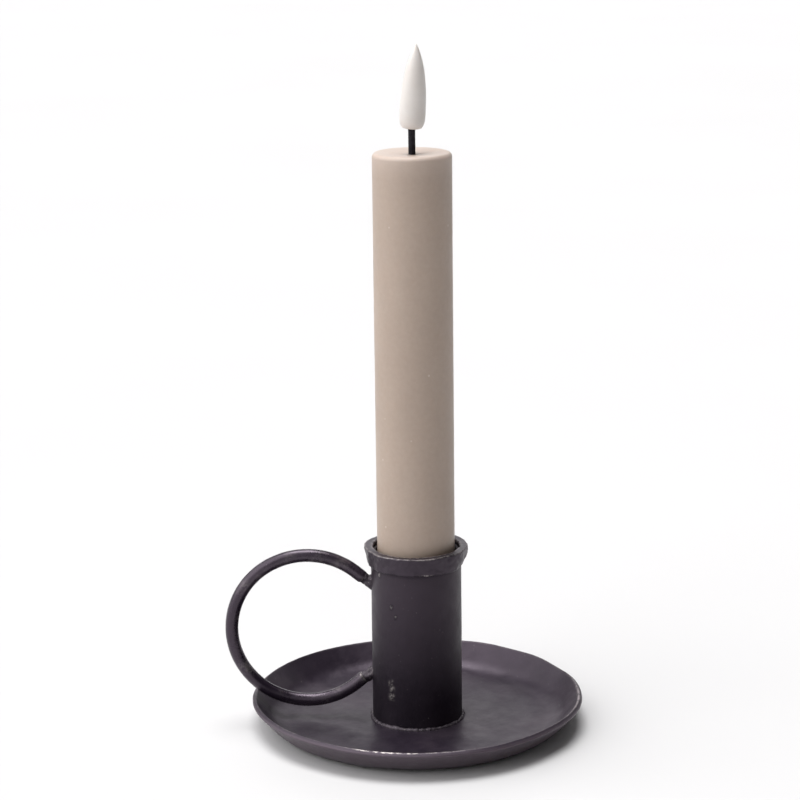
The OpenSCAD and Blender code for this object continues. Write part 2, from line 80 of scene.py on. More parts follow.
# ---- Shape of the candle ----
WAX_ROUND = 1.2 * MM              # rounding of the upper edge
POOL_DEPTH = 0.5 * MM             # hollow in the candle's top
WICK_CLEAR = 0.15 * MM            # gap around the wick
WICK_WALL = 0.4 * MM              # wall of the wick's sleeve
WICK_GRIP = 2 * MM                # how deep the wick goes into the flame
FLAME_D = 7.1 * MM                # diameter at the widest place
FLAME_LEN = 23.1 * MM             # foot to tip
FLAME_FOOT_D = 4 * MM             # diameter at the foot
FLAME_BELLY = 3 * MM              # height of the widest place
FLAME_POWER = 2.6                 # fullness of the sides
FLAME_TIP = 0.85                  # bluntness of the tip, smaller is blunter
FLAME_LEAN = math.radians(3.7)    # lean towards +X
FLAME_WALL = 0.9 * MM             # wall of the hollow flame
FLAME_TIP_WALL = 3 * FLAME_WALL   # solid length at its tip

# ---- Fineness of the meshes: points round each piece, and along the bars ----
DISH_AROUND = 288
TUBE_AROUND = 224
COLLAR_AROUND = 256
BEAD_AROUND = 360
BAR_AROUND = 32
RING_STEPS = 120
WELD_AROUND = 48
WELD_STEPS = 22
WAX_AROUND = 128
POOL_STEPS = 24
WICK_AROUND = 32
FLAME_AROUND = 96
FLAME_STEPS = 44
HOLLOW_STEPS = 20

# ---- Colours, as linear red, green and blue ----
IRON_DEEP = (0.0085, 0.0056, 0.0112)
IRON_PALE = (0.0205, 0.0145, 0.0228)
# Dust clouds and painted light: the pale colour that mottles the iron, paints the tube's upper
# end lighter and lightens the outside of the dish's wall
IRON_DUST_AND_PAINTED_LIGHT = (0.056, 0.044, 0.054)
IRON_BARE = (0.31, 0.285, 0.275)
WAX_DARK = (0.372, 0.293, 0.241)
WAX_LIGHT = (0.412, 0.327, 0.269)
# Painted light: the paler colour painted onto the candle's top, as if lit from above
WAX_PAINTED_TOP_LIGHT = (0.60, 0.50, 0.45)
OPAL_DARK = (0.650, 0.606, 0.576)
OPAL_LIGHT = (0.690, 0.652, 0.622)

# ---- Camera ----
CAMERA_AT = Vector((-4.03 * MM, -683.5 * MM, 263.3 * MM))
CAMERA_DOWN = math.radians(13.85)
CAMERA_ROLL = -0.0117
CAMERA_LENS = 113.5               # in millimetres
CAMERA_SENSOR = 36                # width in millimetres
CAMERA_NEAR = 20 * MM

# ---- Studio ----
WALL_LIGHT = 0.94                 # how bright the room looks to the camera
ROOM_LIGHT = 0.0005               # how much of it reaches the object
FLOOR_HALF = 6.0                  # half the floor's width
# Soft distant lights: name, direction they come from, degrees across, strength
LIGHTS = (
    ("overhead", (-0.06, 0.12, 1), 38, 3.05),
    ("left_high", (-0.7, -0.1, 0.7), 80, 1.48),
    ("left_low", (-0.95, -0.1, 0.2), 110, 1.62),
    ("front_left", (-0.5, -0.72, 0.42), 90, 0.98),
    ("behind", (0, 0.97, 0.25), 50, 0.6),
    ("behind_right", (0.95, 0.55, 0.12), 50, 0.3),
)


# ---- Mesh helpers ----

def arc(centre_r, centre_z, radius, start, end, steps):
    """Points (r, z) along an arc, from one angle to the other, in degrees."""
    points = []
    for i in range(steps + 1):
        a = math.radians(start + (end - start) * i / steps)
        points.append((centre_r + radius * math.cos(a), centre_z + radius * math.sin(a)))
    return points


def filled(points, step):
    """The same outline with extra points, so that no stretch is longer than step."""
    out = [points[0]]
    for (r0, z0), (r1, z1) in zip(points, points[1:]):
        count = max(1, math.ceil(math.hypot(r1 - r0, z1 - z0) / step))
        for i in range(1, count + 1):
            t = i / count
            out.append((r0 + (r1 - r0) * t, z0 + (z1 - z0) * t))
    return out


def without_repeats(points):
    """The points without any that lies on the one before it."""
    kept = [points[0]]
    for p in points[1:]:
        if math.dist(p, kept[-1]) > TINY:
            kept.append(p)
    return kept


def new_piece(name, bm, wear_and_painted_light, material, body, *nodes, slot=None):
    """Turns a bmesh into a smooth piece that rides on a body and stands for its nodes."""
    bmesh.ops.recalc_face_normals(bm, faces=bm.faces)
    mesh = bpy.data.meshes.new(name)
    bm.to_mesh(mesh)
    bm.free()
    mesh.polygons.foreach_set("use_smooth", [True] * len(mesh.polygons))
    values = mesh.attributes.new("wear_and_painted_light", "FLOAT", "POINT")
    values.data.foreach_set("value", wear_and_painted_light)
    mesh.materials.append(material)
    piece = bpy.data.objects.new(name, mesh)
    bpy.context.scene.collection.objects.link(piece)
    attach(piece, body)
    if nodes:
        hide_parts(*nodes)


def lathe(profile, around, warp=None, closed=False):
    """Turns a profile of (r, z) points about Z. warp moves a point and gives its value of wear
    and painted light.

    warp(r, z, angle, index) returns (r, z, value of wear and painted light). A point on the
    axis stays single.
    """
    bm = bmesh.new()
    wear_and_painted_light = []
    rows = []
    for i, (r, z) in enumerate(profile):
        row = []
        count = 1 if r < TINY else around
        for k in range(count):
            a = 2 * math.pi * k / around
            rr, zz, w = warp(r, z, a, i) if warp else (r, z, 0.0)
            row.append(bm.verts.new((rr * math.cos(a), rr * math.sin(a), zz)))
            wear_and_painted_light.append(w)
        rows.append(row)
    pairs = list(zip(rows, rows[1:]))
    if closed:
        pairs.append((rows[-1], rows[0]))
    for low, high in pairs:
        join_rows(bm, low, high)
    return bm, wear_and_painted_light


def join_rows(bm, low, high):
    """Faces between two rings of points, either of which may be a single point."""
    count = max(len(low), len(high))
    for k in range(count):
        n = (k + 1) % count
        if len(low) == 1:
            bm.faces.new((low[0], high[n], high[k]))
        elif len(high) == 1:
            bm.faces.new((low[k], low[n], high[0]))
        else:
            bm.faces.new((low[k], low[n], high[n], high[k]))


def loft(rings):
    """A closed skin through rings of points, with a flat cap at each end."""
    bm = bmesh.new()
    rows = [[bm.verts.new(p) for p in ring] for ring in rings]
    for low, high in zip(rows, rows[1:]):
        join_rows(bm, low, high)
    bm.faces.new(list(reversed(rows[0])))
    bm.faces.new(rows[-1])
    return bm


def lumps(point, size, seed):
    """Smooth noise from -1 to 1 whose bumps are about size across. seed picks its pattern."""
    return noise.noise(Vector(point) / size + Vector((seed, seed * 0.7, -seed)))


def polar(r, a, z):
    """The point at radius r, angle a and height z."""
    return Vector((r * math.cos(a), r * math.sin(a), z))


def smooth_step(low, high, x):
    """0 below low, 1 above high, and a smooth rise between them."""
    t = min(1.0, max(0.0, (x - low) / (high - low)))
    return t * t * (3 - 2 * t)


# ---- Shader helpers ----

class Shader:
    """A material with one Principled shader, and short ways to add nodes to it."""

    def __init__(self, name, **values):
        self.material = bpy.data.materials.new(name)
        self.material.use_nodes = True
        self.tree = self.material.node_tree
        self.bsdf = self.tree.nodes["Principled BSDF"]
        self.place = self.add("ShaderNodeTexCoord").outputs["Object"]
        for key, value in values.items():
            self.bsdf.inputs[key.replace("_", " ")].default_value = value

    def add(self, kind, **settings):
        """A new node with its settings."""
        node = self.tree.nodes.new(kind)
        for key, value in settings.items():
            setattr(node, key, value)
        return node

    def link(self, source, target):
        """Joins a node's output to an input."""
        self.tree.links.new(source, target)

    def noise(self, size, detail, roughness=0.5, stretch=(1, 1, 1)):
        """Noise whose features are about size across, stretched along the axes."""
        mapping = self.add("ShaderNodeMapping")
        mapping.inputs["Scale"].default_value = stretch
        self.link(self.place, mapping.inputs["Vector"])
        node = self.add("ShaderNodeTexNoise")
        node.inputs["Scale"].default_value = 1 / size
        node.inputs["Detail"].default_value = detail
        node.inputs["Roughness"].default_value = roughness
        self.link(mapping.outputs["Vector"], node.inputs["Vector"])
        return node.outputs["Fac"]

    def spots(self, size):
        """Distance to the nearest of scattered points, which lie about size apart."""
        node = self.add("ShaderNodeTexVoronoi")
        node.inputs["Scale"].default_value = 1 / size
        self.link(self.place, node.inputs["Vector"])
        return node.outputs["Distance"]

    def ramp(self, value, *stops):
        """Colour ramp; each stop is (position, colour or grey level)."""
        node = self.add("ShaderNodeValToRGB")
        elements = node.color_ramp.elements
        while len(elements) < len(stops):
            elements.new(0.5)
        for element, (position, level) in zip(elements, stops):
            element.position = position
            grey = isinstance(level, (int, float))
            element.color = (level, level, level, 1) if grey else (*level, 1)
        self.link(value, node.inputs["Fac"])
        return node.outputs["Color"]

    def mix(self, factor, a, b):
        """Colour a where the factor is 0, b where it is 1."""
        node = self.add("ShaderNodeMix", data_type="RGBA")
        for socket, value in (("Factor", factor), ("A", a), ("B", b)):
            target = next(s for s in node.inputs if s.name == socket
                          and s.type == ("VALUE" if socket == "Factor" else "RGBA"))
            self.feed(target, value)
        return next(s for s in node.outputs if s.type == "RGBA")

    def math(self, operation, a, b):
        """The result of a sum on two values, kept between 0 and 1."""
        node = self.add("ShaderNodeMath", operation=operation, use_clamp=True)
        self.feed(node.inputs[0], a)
        self.feed(node.inputs[1], b)
        return node.outputs[0]

    def feed(self, target, value):
        """Gives an input another node's output, a colour or a plain number."""
        if isinstance(value, bpy.types.NodeSocket):
            self.link(value, target)
        elif isinstance(value, tuple):
            target.default_value = (*value, 1)
        else:
            target.default_value = value

    def bump(self, height, depth, strength, below=None):
        """Relief of a given depth, on top of another relief if one is given."""
        node = self.add("ShaderNodeBump")
        node.inputs["Strength"].default_value = strength
        node.inputs["Distance"].default_value = depth
        self.link(height, node.inputs["Height"])
        if below is not None:
            self.link(below, node.inputs["Normal"])
        return node.outputs["Normal"]

    def attribute(self, name):
        """A value that the mesh carries on each point."""
        return self.add("ShaderNodeAttribute", attribute_name=name).outputs["Fac"]

    def set(self, socket, source):
        """Links a node's output to an input of the Principled shader."""
        self.link(source, self.bsdf.inputs[socket])


# ---- Materials ----

def iron_material(name="blackened_iron", shade=1.0, rough=(0.36, 0.5), gloss=0.5,
                  tint=(1.0, 0.84, 1.0)):
    """Blackened iron: matt, faintly purple, mottled, with rubbed edges and specks."""
    s = Shader(name, Specular_IOR_Level=gloss, Specular_Tint=(*tint, 1))
    deep = tuple(shade * level for level in IRON_DEEP)
    pale = tuple(shade * level for level in IRON_PALE)
    base = s.ramp(s.noise(11 * MM, 5, 0.55), (0.3, deep), (0.7, pale))
    cloud = s.ramp(s.noise(26 * MM, 6, 0.6), (0.52, 0), (0.72, 0.45 * shade))
    # Below 0 the points' value lightens the iron: painted light on the tube's upper end, and a
    # lighter outside on the dish's wall; the clouds add dust
    painted_light_and_lift = s.math("MULTIPLY", s.attribute("wear_and_painted_light"), -1.0)
    lightened = s.math("MAXIMUM", cloud, painted_light_and_lift)
    base = s.mix(lightened, base, IRON_DUST_AND_PAINTED_LIGHT)
    specks = s.ramp(s.spots(3.1 * MM), (0.03, 1), (0.07, 0))
    gate = s.ramp(s.noise(5 * MM, 2), (0.57, 0), (0.63, 0.6))
    hairs = s.ramp(s.noise(2.4 * MM, 2, 0.5, (6, 0.5, 3)), (0.73, 0), (0.78, 0.2))
    rubbed = s.math("MULTIPLY", s.attribute("wear_and_painted_light"),
                    s.ramp(s.noise(1.1 * MM, 5, 0.7), (0.42, 0), (0.58, 1)))
    bare = s.math("MAXIMUM", rubbed, s.math("MULTIPLY", specks, gate))
    bare = s.math("MAXIMUM", bare, hairs)
    s.set("Base Color", s.mix(bare, base, IRON_BARE))
    skin = s.ramp(s.noise(4 * MM, 4, 0.6), (0.3, rough[0]), (0.75, rough[1]))
    s.set("Roughness", s.mix(bare, skin, (0.34, 0.34, 0.34)))
    s.set("Metallic", s.math("MULTIPLY", bare, 0.7))
    pits = s.bump(s.noise(2.2 * MM, 3, 0.55), 0.11 * MM, 0.65)
    s.set("Normal", s.bump(s.noise(0.45 * MM, 4, 0.6), 0.035 * MM, 0.55, pits))
    return s.material


def weld_material():
    """Weld metal under the same black, coarser and with more bare specks."""
    s = Shader("weld_iron", Specular_IOR_Level=0.7, Specular_Tint=(1.0, 0.88, 1.0, 1))
    base = s.ramp(s.noise(1.8 * MM, 5, 0.65),
                  (0.3, (0.008, 0.0055, 0.010)), (0.75, (0.032, 0.025, 0.031)))
    specks = s.ramp(s.noise(0.55 * MM, 3, 0.7), (0.6, 0), (0.68, 1))
    bare = s.math("MULTIPLY", specks, s.attribute("wear_and_painted_light"))
    s.set("Base Color", s.mix(bare, base, (0.34, 0.31, 0.29)))
    s.set("Metallic", s.math("MULTIPLY", bare, 0.6))
    s.set("Roughness", s.ramp(s.noise(1.2 * MM, 3), (0.3, 0.4), (0.7, 0.65)))
    s.set("Normal", s.bump(s.noise(0.6 * MM, 4, 0.7), 0.12 * MM, 0.8))
    return s.material


def wax_material():
    """Sand-coloured wax: soft depth, faint clouds, and a few pale specks."""
    s = Shader("sand_wax", Subsurface_Weight=0.12, Subsurface_Scale=1.4 * MM,
               Subsurface_Radius=(1.0, 0.62, 0.45), Specular_IOR_Level=0.42)
    clouds = s.noise(17 * MM, 4, 0.5, (1, 1, 0.45))
    base = s.ramp(clouds, (0.3, WAX_DARK), (0.7, WAX_LIGHT))
    grain = s.noise(1.4 * MM, 4, 0.6)
    base = s.mix(0.10, base, s.ramp(grain, (0.35, (0.30, 0.232, 0.185)),
                                    (0.65, (0.48, 0.39, 0.325))))
    # Painted light: the candle's top is painted paler, by the points' value
    base = s.mix(s.attribute("wear_and_painted_light"), base, WAX_PAINTED_TOP_LIGHT)
    specks = s.ramp(s.spots(6.5 * MM), (0.03, 1), (0.06, 0))
    s.set("Base Color", s.mix(s.math("MULTIPLY", specks, 0.5), base, (0.62, 0.54, 0.47)))
    s.set("Roughness", s.ramp(s.noise(6 * MM, 4), (0.3, 0.40), (0.7, 0.52)))
    swell = s.bump(s.noise(9 * MM, 2, 0.5, (1, 1, 0.3)), 0.12 * MM, 0.3)
    s.set("Normal", s.bump(grain, 0.025 * MM, 0.35, swell))
    return s.material


def flame_material():
    """Opal silicone: milky and slightly warm."""
    s = Shader("opal_flame", Subsurface_Weight=0.35, Subsurface_Scale=1.6 * MM,
               Subsurface_Radius=(1.0, 0.86, 0.74), Specular_IOR_Level=0.45)
    base = s.ramp(s.noise(5 * MM, 3), (0.3, OPAL_DARK), (0.7, OPAL_LIGHT))
    s.set("Base Color", base)
    s.set("Roughness", s.ramp(s.noise(2 * MM, 3), (0.3, 0.38), (0.7, 0.48)))
    s.set("Normal", s.bump(s.noise(0.8 * MM, 3), 0.015 * MM, 0.4))
    return s.material


def wick_material():
    """Matt black sleeve with a faint braid."""
    s = Shader("wick_black", Specular_IOR_Level=0.22)
    fibres = s.noise(0.35 * MM, 4, 0.6, (1, 1, 0.35))
    s.set("Base Color", s.ramp(fibres, (0.3, (0.004, 0.003, 0.006)),
                               (0.75, (0.017, 0.013, 0.020))))
    s.set("Roughness", s.ramp(fibres, (0.3, 0.75), (0.7, 0.55)))
    s.set("Normal", s.bump(fibres, 0.05 * MM, 0.7))
    return s.material


def plastic_material(name, dark, light, rough=(0.35, 0.5)):
    """Moulded plastic: slight colour drift and a fine spark-eroded texture."""
    s = Shader(name, Specular_IOR_Level=0.5)
    s.set("Base Color", s.ramp(s.noise(6 * MM, 3), (0.3, dark), (0.7, light)))
    s.set("Roughness", s.ramp(s.noise(3 * MM, 3), (0.3, rough[0]), (0.7, rough[1])))
    s.set("Normal", s.bump(s.noise(0.35 * MM, 3, 0.6), 0.012 * MM, 0.5))
    return s.material


def metal_material(name, dark, light, stretch=(1, 1, 1)):
    """Bare or plated metal with drawing marks and a slight tarnish."""
    s = Shader(name, Metallic=1.0)
    marks = s.noise(0.3 * MM, 3, 0.5, stretch)
    tarnish = s.noise(3 * MM, 4)
    s.set("Base Color", s.ramp(tarnish, (0.3, dark), (0.65, light)))
    s.set("Roughness", s.ramp(tarnish, (0.3, 0.4), (0.7, 0.22)))
    s.set("Normal", s.bump(marks, 0.01 * MM, 0.4))
    return s.material


def board_material():
    """Green solder mask over faint copper tracks."""
    s = Shader("solder_mask", Specular_IOR_Level=0.55)
    wave = s.add("ShaderNodeTexWave", wave_type="BANDS", bands_direction="DIAGONAL")
    wave.inputs["Scale"].default_value = 0.16 / MM
    wave.inputs["Distortion"].default_value = 1.5
    s.link(s.place, wave.inputs["Vector"])
    tracks = s.ramp(wave.outputs["Fac"], (0.45, 0), (0.55, 1))
    mask = s.ramp(s.noise(2 * MM, 3), (0.3, (0.010, 0.085, 0.030)),
                  (0.7, (0.016, 0.125, 0.045)))
    s.set("Base Color", s.mix(s.math("MULTIPLY", tracks, 0.45), mask, (0.05, 0.22, 0.075)))
    s.set("Roughness", s.ramp(s.noise(1 * MM, 3), (0.3, 0.28), (0.7, 0.42)))
    s.set("Normal", s.bump(tracks, 0.03 * MM, 0.5))
    return s.material


def cell_material(box):
    """Shrink sleeve of a plain cell: slate blue with one pale band near the top."""
    low, high = box
    s = Shader("cell_sleeve", Specular_IOR_Level=0.5)
    split = s.add("ShaderNodeSeparateXYZ")
    s.link(s.place, split.inputs[0])
    height = s.add("ShaderNodeMapRange")
    s.link(split.outputs["Z"], height.inputs["Value"])
    height.inputs["From Min"].default_value = low.z
    height.inputs["From Max"].default_value = high.z
    metal, blue, pale = (0.62, 0.62, 0.60), (0.045, 0.085, 0.14), (0.70, 0.71, 0.70)
    sleeve = s.ramp(height.outputs["Result"],
                    (0.012, metal), (0.022, blue), (0.80, blue), (0.81, pale),
                    (0.84, pale), (0.85, blue), (0.955, blue), (0.965, metal))
    scuffs = s.noise(4 * MM, 5, 0.6)
    s.set("Base Color", s.mix(0.15, sleeve, s.ramp(scuffs, (0.3, 0.02), (0.7, 0.3))))
    s.set("Roughness", s.ramp(scuffs, (0.3, 0.25), (0.7, 0.4)))
    s.set("Normal", s.bump(s.noise(1.5 * MM, 2), 0.02 * MM, 0.3))
    return s.material


def lens_material():
    """Warm lamp body: clear epoxy over a yellow phosphor."""
    s = Shader("lamp_lens", IOR=1.5, Transmission_Weight=0.55, Coat_Weight=0.4)
    s.set("Base Color", s.ramp(s.noise(0.5 * MM, 2), (0.3, (0.80, 0.62, 0.20)),
                               (0.7, (0.92, 0.80, 0.42))))
    s.set("Roughness", s.ramp(s.noise(1 * MM, 2), (0.3, 0.12), (0.7, 0.22)))
    return s.material


# ---- Iron holder ----

def near_angle(centre, width, a):
    """1 near an angle in degrees, falling off smoothly over width degrees."""
    off = abs((math.degrees(a) - centre + 180) % 360 - 180)
    return 1 - smooth_step(0, width, off)


def sum_at(places, a, total=0.0):
    """The sum of places round the axis, each (angle in degrees, width, amount), at an angle."""
    for centre, width, amount in places:
        total += amount * near_angle(centre, width, a)
    return total


def make_dish(iron):
    """The dished sheet: hammered floor, flared wall and a lip that isn't quite true."""
    _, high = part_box("drip_dish")
    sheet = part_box("socket_tube")[0].z
    tube_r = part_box("socket_tube")[1].x
    lip_r, lip_z = high.x, high.z
    bend_low = DISH_BEND + sheet
    slope = math.degrees(DISH_SLOPE)
    lip_low_z = lip_z - sheet * math.cos(DISH_SLOPE)
    run = (lip_low_z - bend_low * (1 - math.cos(DISH_SLOPE))) / math.sin(DISH_SLOPE)
    floor_r = lip_r - bend_low * math.sin(DISH_SLOPE) - run * math.cos(DISH_SLOPE)
    e = DISH_LIP_ROUND
    side = Vector((-math.sin(DISH_SLOPE), math.cos(DISH_SLOPE)))
    along = Vector((math.cos(DISH_SLOPE), math.sin(DISH_SLOPE)))
    low_corner = Vector((lip_r, lip_low_z))
    top_corner = low_corner + sheet * side
    low_c = low_corner - e * along + e * side
    top_c = top_corner - e * along - e * side
    lower = [(0, 0), (floor_r, 0)] + arc(floor_r, bend_low, bend_low, -90, slope - 90, 10)
    lower_lip = arc(low_c.x, low_c.y, e, slope - 90, slope, 3)
    upper_lip = arc(top_c.x, top_c.y, e, slope, slope + 90, 4)
    upper = arc(floor_r, bend_low, DISH_BEND, slope - 90, -90, 10) + [(0, sheet)]
    outline = filled(lower + lower_lip[:1], 0.8 * MM) + lower_lip + upper_lip
    outline += filled(upper_lip[-1:] + upper, 0.5 * MM)
    outline = without_repeats(outline)
    lip_index = max(range(len(outline)), key=lambda i: outline[i][1])

    def warp(r, z, a, i):
        flare = smooth_step(floor_r * 0.92, lip_r, r)
        wave = LIP_WAVE_MEAN
        for count, phase, size in LIP_WAVES:
            wave += size * math.sin(count * a + phase)
        flats = sum_at(DISH_FLATS, a)
        chips = 0.1 * MM * abs(lumps(polar(lip_r, a, 0), 1.6 * MM, 5))
        rr = r - (DISH_WAVE_OUT * max(0.0, wave) + DISH_FLAT * flats + chips) * flare
        drop = 0.3 + 0.5 * math.sin(a * 3 + 0.3) + 0.9 * near_angle(-60, 40, a)
        zz = z - DISH_WAVE_DOWN * max(0.0, drop) * flare * min(1.0, z / lip_z)
        clear_of_tube = smooth_step(tube_r + 1 * MM, tube_r + 8 * MM, r)
        on_table = smooth_step(floor_r, floor_r + 4 * MM, r) if i < lip_index else 1.0
        dents = lumps(polar(r, a, 0), 9 * MM, 1) + 0.5 * lumps(polar(r, a, 0), 4 * MM, 2)
        zz += DISH_DENT * dents * clear_of_tube * on_table * (1 - 0.6 * flare)
        lip = 1 - smooth_step(0.1 * MM, 0.6 * MM, math.dist((r, z), tuple(top_corner)))
        rubs = sum_at(LIP_RUBS, a, LIP_RUB_ALL_ROUND)
        rubs *= 0.75 + 0.5 * lumps(polar(lip_r, a, 0), 3.5 * MM, 22)
        # The outside of the wall, below the lip, is made lighter.
        under = smooth_step(0.5 * MM, 3 * MM, z) if i < lip_index and lip == 0 else 0.0
        return rr, zz, lip * rubs - WALL_OUTSIDE_LIGHTER * under

    bm, wear_and_painted_light = lathe(outline, DISH_AROUND, warp)
    new_piece("dish", bm, wear_and_painted_light, iron, "holder", "drip_dish", slot="black_iron")


def make_tube(iron):
    """The socket tube: faint waves, weld spatter, and painted light on its upper end that fades
    towards the foot.
    """
    low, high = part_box("socket_tube")
    outer, inner = high.x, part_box("candle_seat")[1].x
    collar_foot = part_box("collar_band")[0].z
    e = 0.25 * MM
    outline = [(inner + e, low.z), (outer - e, low.z), (outer, low.z + e)]
    outline += [(outer, high.z - e), (outer - e, high.z), (inner + e, high.z)]
    outline += [(inner, high.z - e), (inner, low.z + e), (inner + e, low.z)]
    outline = without_repeats(filled(outline, 0.7 * MM))[:-1]

    def warp(r, z, a, i):
        outside = smooth_step((inner + outer) / 2, outer, r)
        drops, bright = 0.0, 0.0
        for angle, height, size in SPATTER:
            place = polar(outer, math.radians(angle), low.z + height)
            near = math.exp(-((polar(outer, a, z) - place).length / size) ** 2)
            drops, bright = max(drops, near * SPATTER_RISE), max(bright, near)
        wave = lumps(polar(outer, a, z), 12 * MM, 3)
        blob = max(0.0, lumps(polar(outer, a, z), 2.4 * MM, 8) - 0.45)
        rim = 1 - smooth_step(0, 0.5 * MM, high.z - z)
        # Painted shadow: a band just under the collar keeps the dark colour. Painted light: the
        # upper end is painted lighter, fading towards the foot.
        under_collar_shadow = smooth_step(collar_foot - 1.3 * MM, collar_foot - 0.2 * MM, z)
        lightened = TUBE_PAINTED_LIGHT * smooth_step(low.z + 8 * MM, high.z - 4 * MM, z) * outside
        lightened *= 1 - under_collar_shadow
        rr = r - outside * (0.09 * MM + 0.06 * MM * wave) + outside * (0.07 * MM * blob + drops)
        if outside:
            rr = min(rr, outer)
        wear_and_painted_light = 0.15 * rim + 1.6 * bright * outside - lightened * (1 - bright)
        return rr, z, wear_and_painted_light

    bm, wear_and_painted_light = lathe(outline, TUBE_AROUND, warp, closed=True)
    new_piece("socket", bm, wear_and_painted_light, iron, "holder", "socket_tube", slot="black_iron")


def make_collar(iron):
    """The collar band: flat bar bent round by hand, with hammered flats and edges."""
    low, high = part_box("collar_band")
    outer, inner = high.x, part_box("socket_tube")[1].x
    bottom, top = low.z, high.z
    height = top - bottom
    e, b, crisp = 0.45 * MM, 0.3 * MM, 0.12 * MM
    outline = [(inner + b, bottom), (outer - crisp, bottom), (outer, bottom + crisp)]
    outline += arc(outer - e, top - e, e, 0, 90, 5)
    lip, over_rim = inner - COLLAR_LIP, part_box("socket_tube")[1].z + 0.1 * MM
    outline += [(lip + e, top)] + arc(lip + e, top - e, e, 90, 180, 4)
    outline += [(lip, over_rim + 0.3 * MM), (inner, over_rim)]
    outline += [(inner, bottom + b), (inner + b, bottom)]
    outline = without_repeats(filled(outline, 0.4 * MM))[:-1]

    def warp(r, z, a, i):
        out = smooth_step(inner + 0.3 * MM, outer, r)
        up = (z - bottom) / height
        flats = abs(math.sin(3.5 * a + 0.5)) * 0.6 + abs(math.sin(5.5 * a + 1.9)) * 0.4
        taper_left = COLLAR_TAPER * (1 - up) * near_angle(178, 75, a)
        chamfer_right = COLLAR_CHAMFER * max(0.0, 1 - up / 0.45) * near_angle(2, 55, a)
        dents = 0.5 + 0.5 * lumps(polar(outer, a, z), 3.2 * MM, 4)
        dents += 0.35 * lumps(polar(outer, a, z), 1.1 * MM, 23)
        cut = COLLAR_FLAT * (1 - flats) + COLLAR_DENT * dents + taper_left + chamfer_right
        rr = r - out * cut
        sag = 0.22 * MM * (0.5 + 0.5 * lumps(polar(r, a, 0), 5 * MM, 6))
        sag += 0.18 * MM * (0.5 + 0.5 * math.sin(3 * a + 1.0))
        zz = z - sag * smooth_step(0.5, 1.0, up)
        jagged = 0.7 * MM * abs(lumps(polar(inner, a, 0), 1.5 * MM, 19))
        jagged *= 0.4 + 0.6 * near_angle(-25, 80, a)
        rr += jagged * (1 - out) * smooth_step(0.75, 1.0, up)
        ragged = 0.35 * MM * (0.5 + 0.5 * lumps(polar(outer, a, 0), 2.6 * MM, 7))
        zz += ragged * (1 - smooth_step(0.0, 0.3, up)) * out
        rim_point = (lip + 0.2 * MM, top)
        inner_edge = 1 - smooth_step(0.1 * MM, 0.85 * MM, math.dist((r, z), rim_point))
        outer_edge = 1 - smooth_step(0, 0.5 * MM, math.dist((r, z), (outer - 0.2 * MM, top)))
        foot_edge = 1 - smooth_step(0, 0.5 * MM, math.dist((r, z), (outer, bottom)))
        wear_and_painted_light = inner_edge * (0.5 + 1.9 * near_angle(-95, 55, a)) + 0.8 * outer_edge
        wear_and_painted_light += 1.6 * foot_edge * near_angle(-80, 10, a)
        return rr, zz, wear_and_painted_light

    bm, wear_and_painted_light = lathe(outline, COLLAR_AROUND, warp, closed=True)
    new_piece("collar", bm, wear_and_painted_light, iron, "holder", "collar_band", slot="black_iron")


def handle_path(short=0.0):
    """Centre line of the ring handle in the XZ plane: straight end, ring, straight end.

    short is how far the ends stop before the tube, measured along X.
    """
    low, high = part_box("ring_handle")
    bar_r = (high.y - low.y) / 2
    tube_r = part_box("socket_tube")[1].x
    ring_r = (high.z - low.z) / 2 - bar_r
    centre = Vector((low.x + bar_r + ring_r, 0, (low.z + high.z) / 2))
    reach = -tube_r - centre.x
    run = (reach - short - ring_r * math.cos(HANDLE_ANGLE)) / math.sin(HANDLE_ANGLE)
    ends = []
    for side in (1, -1):
        spoke = Vector((math.cos(HANDLE_ANGLE), 0, side * math.sin(HANDLE_ANGLE)))
        heading = Vector((math.sin(HANDLE_ANGLE), 0, -side * math.cos(HANDLE_ANGLE)))
        ends.append((centre + ring_r * spoke, heading))
    (top, top_way), (foot, foot_way) = ends
    points = [top + top_way * run * t for t in (1.0, 0.8, 0.6, 0.4, 0.2)]
    for i in range(RING_STEPS + 1):
        a = HANDLE_ANGLE + (2 * math.pi - 2 * HANDLE_ANGLE) * i / RING_STEPS
        points.append(centre + ring_r * Vector((math.cos(a), 0, math.sin(a))))
    points += [foot + foot_way * run * t for t in (0.2, 0.4, 0.6, 0.8, 1.0)]
    return points, bar_r


def make_handle(iron):
    """The bar bent into a ring, with hand-made unevenness along its length."""
    points, bar_r = handle_path(BAR_SHORT)
    last = len(points) - 1
    rings = []
    wear_and_painted_light = []
    for i, p in enumerate(points):
        heading = (points[min(i + 1, last)] - points[max(i - 1, 0)]).normalized()
        outward = Vector((-heading.z, 0, heading.x))
        from_end = min(i, last - i)
        neck = 0.25 * MM if from_end == 0 else 0.04 * MM
        r0 = bar_r - 0.05 * MM - neck + 0.035 * MM * lumps(p, 7 * MM, 9)
        centre = p + 0.04 * MM * outward * lumps(p, 12 * MM, 11)
        ring = []
        for k in range(BAR_AROUND):
            a = 2 * math.pi * k / BAR_AROUND
            spoke = outward * math.cos(a) + Y_AXIS * math.sin(a)
            r = r0 + 0.025 * MM * lumps(p + spoke * bar_r, 2.5 * MM, 12)
            ring.append(centre + spoke * r)
            cut_end = 0.9 if from_end == 0 else 0.0
            wear_and_painted_light.append(cut_end + 0.5 * max(0.0, lumps(p + spoke * bar_r, 5 * MM, 13)))
        rings.append(ring)
    bm = loft(rings)
    new_piece("handle", bm, wear_and_painted_light, iron, "holder", "ring_handle", slot="black_iron")


